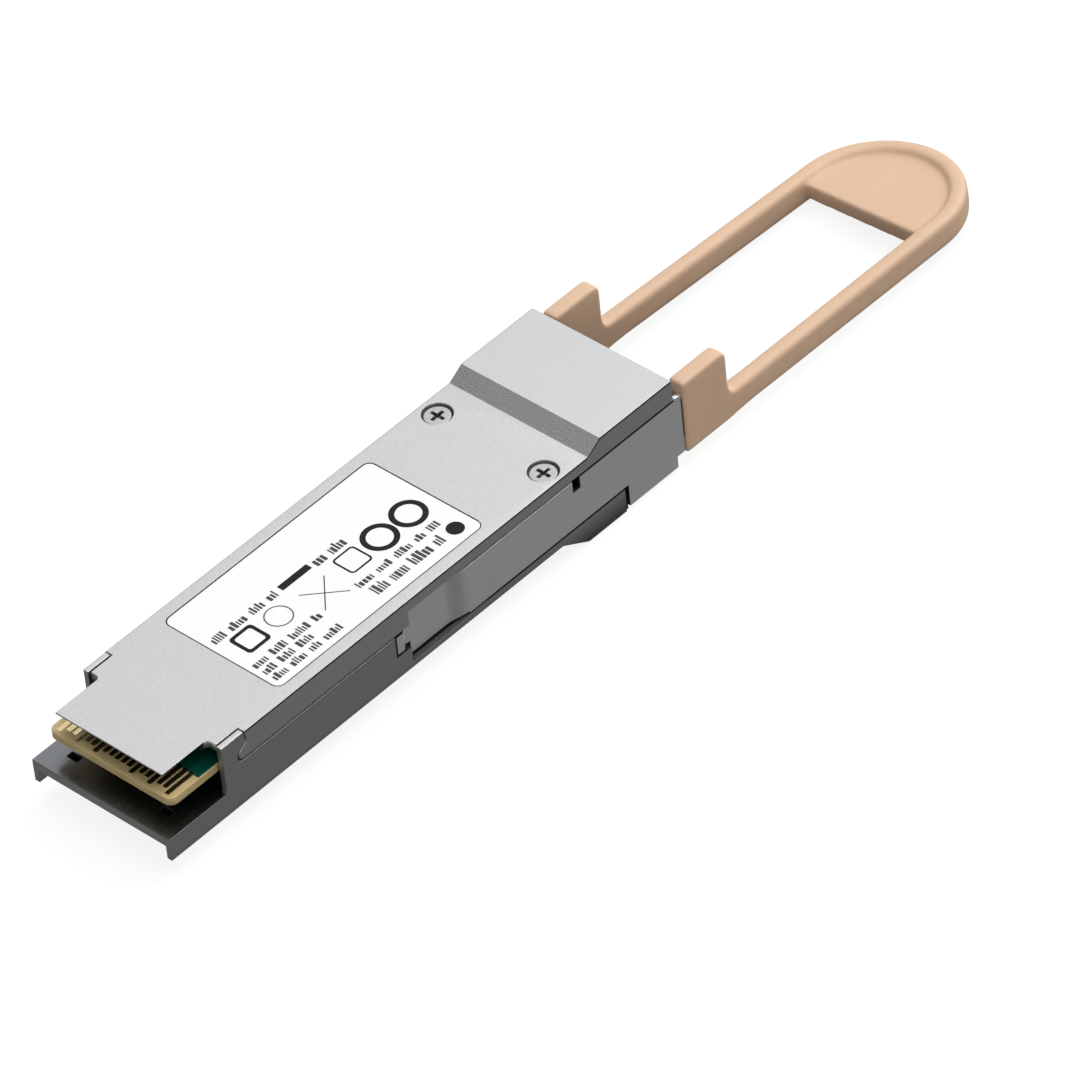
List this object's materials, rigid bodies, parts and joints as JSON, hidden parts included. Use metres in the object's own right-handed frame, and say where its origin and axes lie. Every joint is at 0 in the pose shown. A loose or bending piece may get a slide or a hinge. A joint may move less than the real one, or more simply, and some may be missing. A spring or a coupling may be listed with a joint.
{
  "type": "optical transceiver module",
  "caption": "Pluggable optical transceiver: die-cast housing, card-edge contacts at one end, a fibre port at the other, and a sprung pull tab that slides out to release its side latches.",
  "frame": {"origin": "middle of the flat heat-sink face, on the face opposite the label", "axes": "+X is the way the pull tab is pulled, away from the card edge; +Y is the left side seen from the card edge with the label up; +Z is out of the label face"},
  "size_m": [0.123, 0.0188, 0.0119],
  "materials": {
    "cast_metal": "satin nickel-plated zinc casting with a fine grain",
    "slider_steel": "smooth satin sheet steel",
    "screw_steel": "bright nickel-plated steel",
    "spring_steel": "bright spring wire",
    "pin_steel": "ground stainless steel",
    "label": "white printed film with plain dark bars",
    "tab_plastic": "fine matt moulded beige",
    "board": "green solder mask on laminate, gold contacts",
    "port_plastic": "black moulded polymer",
    "hook_plastic": "natural moulded polymer",
    "ferrule_plastic": "filled thermoplastic with a polished end face",
    "ribbon": "coated fibre ribbon",
    "lens_polymer": "clear amber moulded polymer",
    "die": "bare semiconductor die",
    "chip_resin": "black moulding compound",
    "clock_lid": "metal lid",
    "capacitor": "sintered ceramic with tinned ends",
    "thermal_pad": "soft gap filler",
    "gasket": "conductive elastomer"
  },
  "bodies": {
    "housing": {"base_shell": "cast_metal", "cover_shell": "cast_metal", "cover_screw_left": "screw_steel", "cover_screw_right": "screw_steel", "rating_label": "label", "circuit_board": "board", "return_spring_left": "spring_steel", "return_spring_right": "spring_steel", "optical_receptacle": "port_plastic", "latch_hooks": "hook_plastic", "mt_ferrule": "ferrule_plastic", "guide_pin_left": "pin_steel", "guide_pin_right": "pin_steel", "pin_clamp": "pin_steel", "fibre_ribbon": "ribbon", "lens_block": "lens_polymer", "laser_array": "die", "photodiode_array": "die", "laser_driver": "die", "receiver_amplifier": "die", "transmit_retimer": "chip_resin", "receive_retimer": "chip_resin", "microcontroller": "chip_resin", "power_inductor": "chip_resin", "reference_clock": "clock_lid", "bulk_capacitor_1": "capacitor", "bulk_capacitor_2": "capacitor", "bulk_capacitor_3": "capacitor", "bulk_capacitor_4": "capacitor", "thermal_pad_retimers": "thermal_pad", "thermal_pad_optics": "thermal_pad", "emi_gasket": "gasket"},
    "delatch": {"delatch_slider": "slider_steel", "pull_tab": "tab_plastic"}
  },
  "joints": [
    {"name": "delatch_slide", "type": "slide", "parent": "housing", "child": "delatch", "axis": [1, 0, 0], "range_m": [0, 0.0023], "stiffness_N_per_m": 400, "springref_m": -0.005, "deforming": ["return_spring_left", "return_spring_right"]}
  ]
}
